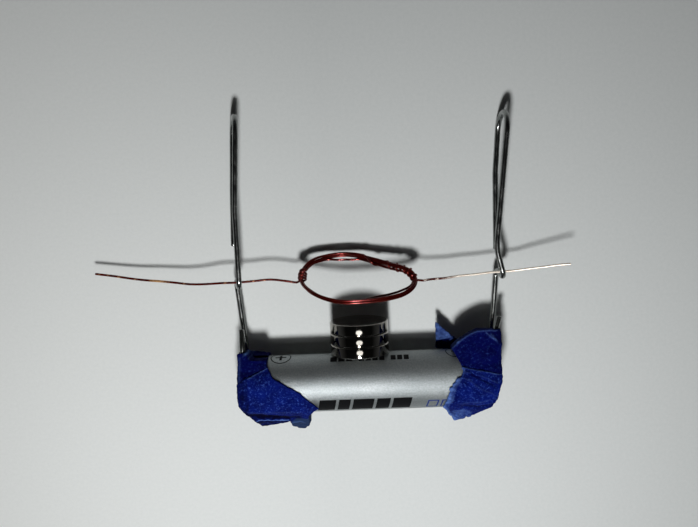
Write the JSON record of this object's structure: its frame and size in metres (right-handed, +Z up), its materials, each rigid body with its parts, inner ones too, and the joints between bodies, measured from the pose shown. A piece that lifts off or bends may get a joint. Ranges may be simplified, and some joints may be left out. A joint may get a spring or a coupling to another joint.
{
  "type": "demonstration electric motor",
  "caption": "Simple classroom motor: a small cell with disc magnets on its side, two unfolded paper clips taped to its ends, and a wire coil turning in their cradles.",
  "frame": {"origin": "middle of the underside of the bounding box, on the surface that the motor lies on", "axes": "+X along the cell towards its flat negative end, +Y from the cell towards the coil and the tops of the clips, +Z up off the surface; the motor lies on its back as people lay it down"},
  "size_m": [0.086, 0.06, 0.0112],
  "materials": {
    "cell_steel": "nickel-plated drawn steel, satin",
    "cell_label": "silver-grey printed shrink sleeve with a soft metallic sheen",
    "cathode_mix": "pressed black manganese dioxide and graphite",
    "separator_paper": "soft off-white paper",
    "zinc_gel": "grey zinc paste",
    "brass": "bright drawn brass",
    "seal_nylon": "natural moulded nylon",
    "magnet_nickel": "mirror-bright nickel plating, thin bevelled rims",
    "clip_wire": "bright galvanised steel wire",
    "blue_tape": "deep blue creped masking paper, matt, with pale creases",
    "enamelled_copper": "dark red-brown enamel over copper, glossy",
    "lead_wire": "enamelled near the coil, scraped to bright metal towards the cradle"
  },
  "bodies": {
    "base": {"cell_can": "cell_steel", "negative_cap": "cell_steel", "cell_label": "cell_label", "cathode_ring_1": "cathode_mix", "cathode_ring_2": "cathode_mix", "cathode_ring_3": "cathode_mix", "separator": "separator_paper", "anode_gel": "zinc_gel", "current_collector": "brass", "cell_seal": "seal_nylon", "left_clip": "clip_wire", "right_clip": "clip_wire", "left_tape_strip": "blue_tape", "left_tape_wrap": "blue_tape", "right_tape_strip": "blue_tape", "right_tape_wrap": "blue_tape"},
    "magnets": {"magnet_lower": "magnet_nickel", "magnet_middle": "magnet_nickel", "magnet_upper": "magnet_nickel"},
    "rotor": {"coil_turns": "enamelled_copper", "left_binding": "enamelled_copper", "right_binding": "enamelled_copper", "left_lead": "enamelled_copper", "right_lead": "lead_wire"}
  },
  "joints": [
    {"name": "coil_spin", "type": "hinge", "parent": "base", "child": "rotor", "pos_m": [0, -0.00005, 0.0065], "axis": [1, 0, 0], "continuous": true},
    {"name": "magnet_slide", "type": "slide", "parent": "base", "child": "magnets", "axis": [1, 0, 0], "range_m": [-0.01, 0.007]}
  ]
}
